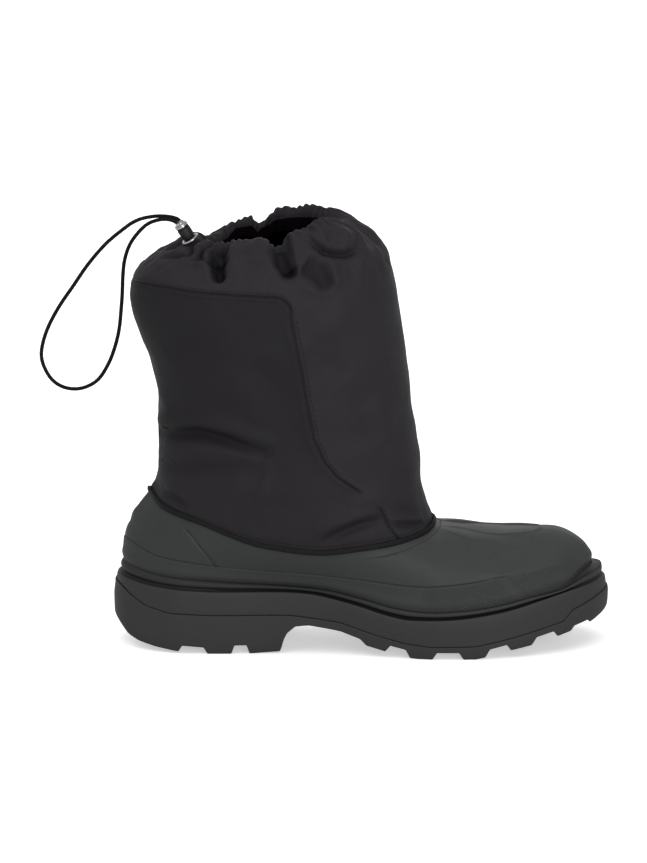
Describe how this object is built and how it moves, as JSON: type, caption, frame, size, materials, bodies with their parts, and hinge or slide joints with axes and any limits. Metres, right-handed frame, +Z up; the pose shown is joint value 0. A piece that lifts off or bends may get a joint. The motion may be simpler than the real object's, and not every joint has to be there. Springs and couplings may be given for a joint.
{
  "type": "snow boot",
  "caption": "Right snow boot with a lugged rubber sole, a moulded rubber shell and a padded nylon shaft closed by a gathered drawcord collar with a cord lock.",
  "frame": {"origin": "on the ground, under the middle of the sole's length and width", "axes": "+X from heel to toe, +Y to the inner (medial) side of this right boot, +Z up"},
  "size_m": [0.3662, 0.1088, 0.2861],
  "materials": {
    "outsole_rubber": "matte moulded, lightly scuffed",
    "midsole_rubber": "matte moulded",
    "insole_felt": "felt",
    "shell_rubber": "satin moulded with grained panels",
    "shaft_nylon": "padded nylon, soft sheen",
    "eyelet_metal": "bright",
    "lock_plastic": "satin black",
    "lock_metal": "bright",
    "cord_elastic": "braided elastic"
  },
  "bodies": {
    "root": {"outsole": "outsole_rubber", "midsole": "midsole_rubber", "insole": "insole_felt", "shell": "shell_rubber", "shaft": "shaft_nylon", "eyelet": "eyelet_metal", "cord_lock_barrel": "lock_plastic", "cord_lock_cap": "lock_metal", "drawcord": "cord_elastic"}
  },
  "joints": []
}
